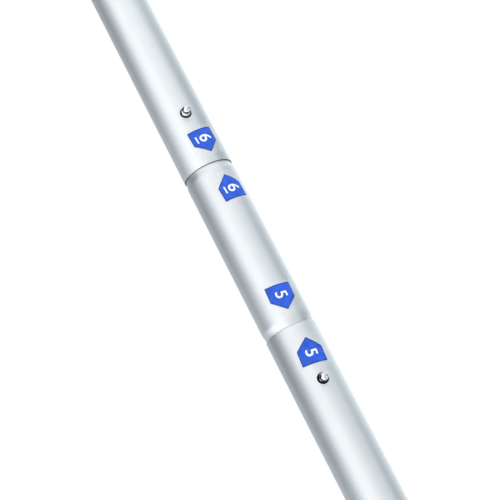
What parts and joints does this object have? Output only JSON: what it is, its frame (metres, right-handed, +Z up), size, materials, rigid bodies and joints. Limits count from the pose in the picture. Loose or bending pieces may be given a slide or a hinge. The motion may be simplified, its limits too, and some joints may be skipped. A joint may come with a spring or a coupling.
{
  "type": "avalanche probe",
  "caption": "Sectional avalanche probe: long aluminium tubes joined by short swaged couplers with sprung snap buttons and arrow labels, a pointed tip and a grip.",
  "frame": {"origin": "the tip's point, on the pole's axis, which is the bounding box's bottom centre", "axes": "+Z up the pole from the tip to the grip; the snap buttons face -Y"},
  "size_m": [0.0292, 0.0292, 1.8534],
  "materials": {
    "satin_aluminium": "satin silver anodised",
    "hard_aluminium": "turned, hard anodised",
    "chrome": "polished",
    "spring_steel": "rolled strip",
    "blue_film": "printed clear film",
    "foam_rubber": "closed-cell foam",
    "black_plastic": "moulded, fine grain"
  },
  "bodies": {
    "tip_section": {"tube_1": "satin_aluminium", "probe_tip": "hard_aluminium", "tip_pin": "spring_steel", "label_1_on_tube": "blue_film"},
    "coupler_1": {"coupler_1": "satin_aluminium", "snap_spring_1": "spring_steel", "snap_spring_2": "spring_steel", "label_1_on_coupler": "blue_film", "label_2_on_coupler": "blue_film"},
    "section_2": {"tube_2": "satin_aluminium", "label_2_on_tube": "blue_film", "label_3_on_tube": "blue_film"},
    "coupler_2": {"coupler_2": "satin_aluminium", "snap_spring_3": "spring_steel", "snap_spring_4": "spring_steel", "label_3_on_coupler": "blue_film", "label_4_on_coupler": "blue_film"},
    "section_3": {"tube_3": "satin_aluminium", "label_4_on_tube": "blue_film", "label_5_on_tube": "blue_film"},
    "coupler_3": {"coupler_3": "satin_aluminium", "snap_spring_5": "spring_steel", "snap_spring_6": "spring_steel", "label_5_on_coupler": "blue_film", "label_6_on_coupler": "blue_film"},
    "grip_section": {"tube_4": "satin_aluminium", "grip_sleeve": "foam_rubber", "end_cap": "black_plastic", "label_6_on_tube": "blue_film"},
    "snap_button_1": {"snap_button_1": "chrome"},
    "snap_button_2": {"snap_button_2": "chrome"},
    "snap_button_3": {"snap_button_3": "chrome"},
    "snap_button_4": {"snap_button_4": "chrome"},
    "snap_button_5": {"snap_button_5": "chrome"},
    "snap_button_6": {"snap_button_6": "chrome"}
  },
  "joints": [
    {"name": "tip_end_draw_1", "type": "slide", "parent": "tip_section", "child": "coupler_1", "axis": [0, 0, 1], "range_m": [0, 0.05], "deforming": ["snap_button_1"]},
    {"name": "tip_end_draw_2", "type": "slide", "parent": "coupler_1", "child": "section_2", "axis": [0, 0, 1], "range_m": [0, 0.05], "deforming": ["snap_button_2"]},
    {"name": "middle_draw_3", "type": "slide", "parent": "section_2", "child": "coupler_2", "axis": [0, 0, 1], "range_m": [0, 0.05], "deforming": ["snap_button_3"]},
    {"name": "middle_draw_4", "type": "slide", "parent": "coupler_2", "child": "section_3", "axis": [0, 0, 1], "range_m": [0, 0.05], "deforming": ["snap_button_4"]},
    {"name": "grip_end_draw_5", "type": "slide", "parent": "section_3", "child": "coupler_3", "axis": [0, 0, 1], "range_m": [0, 0.05], "deforming": ["snap_button_5"]},
    {"name": "grip_end_draw_6", "type": "slide", "parent": "coupler_3", "child": "grip_section", "axis": [0, 0, 1], "range_m": [0, 0.05], "deforming": ["snap_button_6"]},
    {"name": "tip_end_press_1", "type": "slide", "parent": "coupler_1", "child": "snap_button_1", "axis": [0, 1, 0], "range_m": [0, 0.0044], "stiffness_N_per_m": 1500, "springref_m": -0.001, "deforming": ["snap_spring_1"]},
    {"name": "tip_end_press_2", "type": "slide", "parent": "coupler_1", "child": "snap_button_2", "axis": [0, 1, 0], "range_m": [0, 0.0055], "stiffness_N_per_m": 1500, "springref_m": -0.001, "deforming": ["snap_spring_2"]},
    {"name": "middle_press_3", "type": "slide", "parent": "coupler_2", "child": "snap_button_3", "axis": [0, 1, 0], "range_m": [0, 0.0044], "stiffness_N_per_m": 1500, "springref_m": -0.001, "deforming": ["snap_spring_3"]},
    {"name": "middle_press_4", "type": "slide", "parent": "coupler_2", "child": "snap_button_4", "axis": [0, 1, 0], "range_m": [0, 0.0055], "stiffness_N_per_m": 1500, "springref_m": -0.001, "deforming": ["snap_spring_4"]},
    {"name": "grip_end_press_5", "type": "slide", "parent": "coupler_3", "child": "snap_button_5", "axis": [0, 1, 0], "range_m": [0, 0.0044], "stiffness_N_per_m": 1500, "springref_m": -0.001, "deforming": ["snap_spring_5"]},
    {"name": "grip_end_press_6", "type": "slide", "parent": "coupler_3", "child": "snap_button_6", "axis": [0, 1, 0], "range_m": [0, 0.0055], "stiffness_N_per_m": 1500, "springref_m": -0.001, "deforming": ["snap_spring_6"]}
  ]
}
